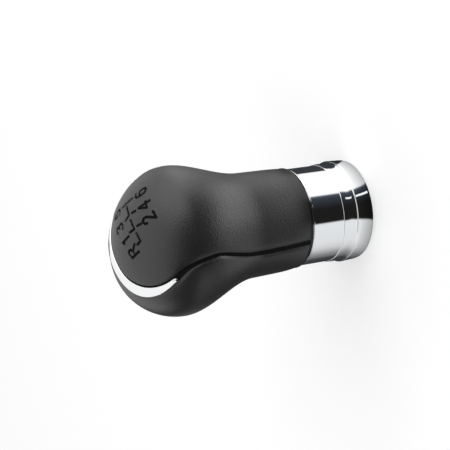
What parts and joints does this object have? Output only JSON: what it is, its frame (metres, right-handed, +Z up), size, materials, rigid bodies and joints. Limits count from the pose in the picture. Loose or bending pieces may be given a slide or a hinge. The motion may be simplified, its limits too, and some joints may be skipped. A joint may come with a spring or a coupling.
{
  "type": "gear shift knob",
  "caption": "Pear-shaped shift knob in soft-touch leatherette with a bright crescent over the head and a sprung chrome lift ring under the grip.",
  "frame": {"origin": "on the gear lever's axis, in the plane of the lift ring's lower rim", "axes": "+Z up along the lever's axis, +Y to the front of the car, +X to its right"},
  "size_m": [0.0508, 0.0508, 0.0882],
  "materials": {
    "leatherette": "fine grained, soft satin",
    "bright_chrome": "polished plating",
    "black_plastic": "moulded, satin",
    "core_plastic": "moulded, fine spark texture",
    "bush_brass": "turned",
    "spring_steel": "oiled bright steel"
  },
  "bodies": {
    "grip": {"rear_cover": "leatherette", "front_cover": "leatherette", "crescent_trim": "bright_chrome", "rim_ring": "black_plastic", "grip_core": "core_plastic", "lever_bush": "bush_brass", "return_spring": "spring_steel", "spring_washer": "spring_steel", "stop_clip": "spring_steel"},
    "lift": {"lift_ring": "bright_chrome", "lift_carrier": "black_plastic"}
  },
  "joints": [
    {"name": "ring_lift", "type": "slide", "parent": "grip", "child": "lift", "axis": [0, 0, 1], "range_m": [0, 0.008], "stiffness_N_per_m": 600, "springref_m": -0.012, "deforming": ["return_spring"]}
  ]
}
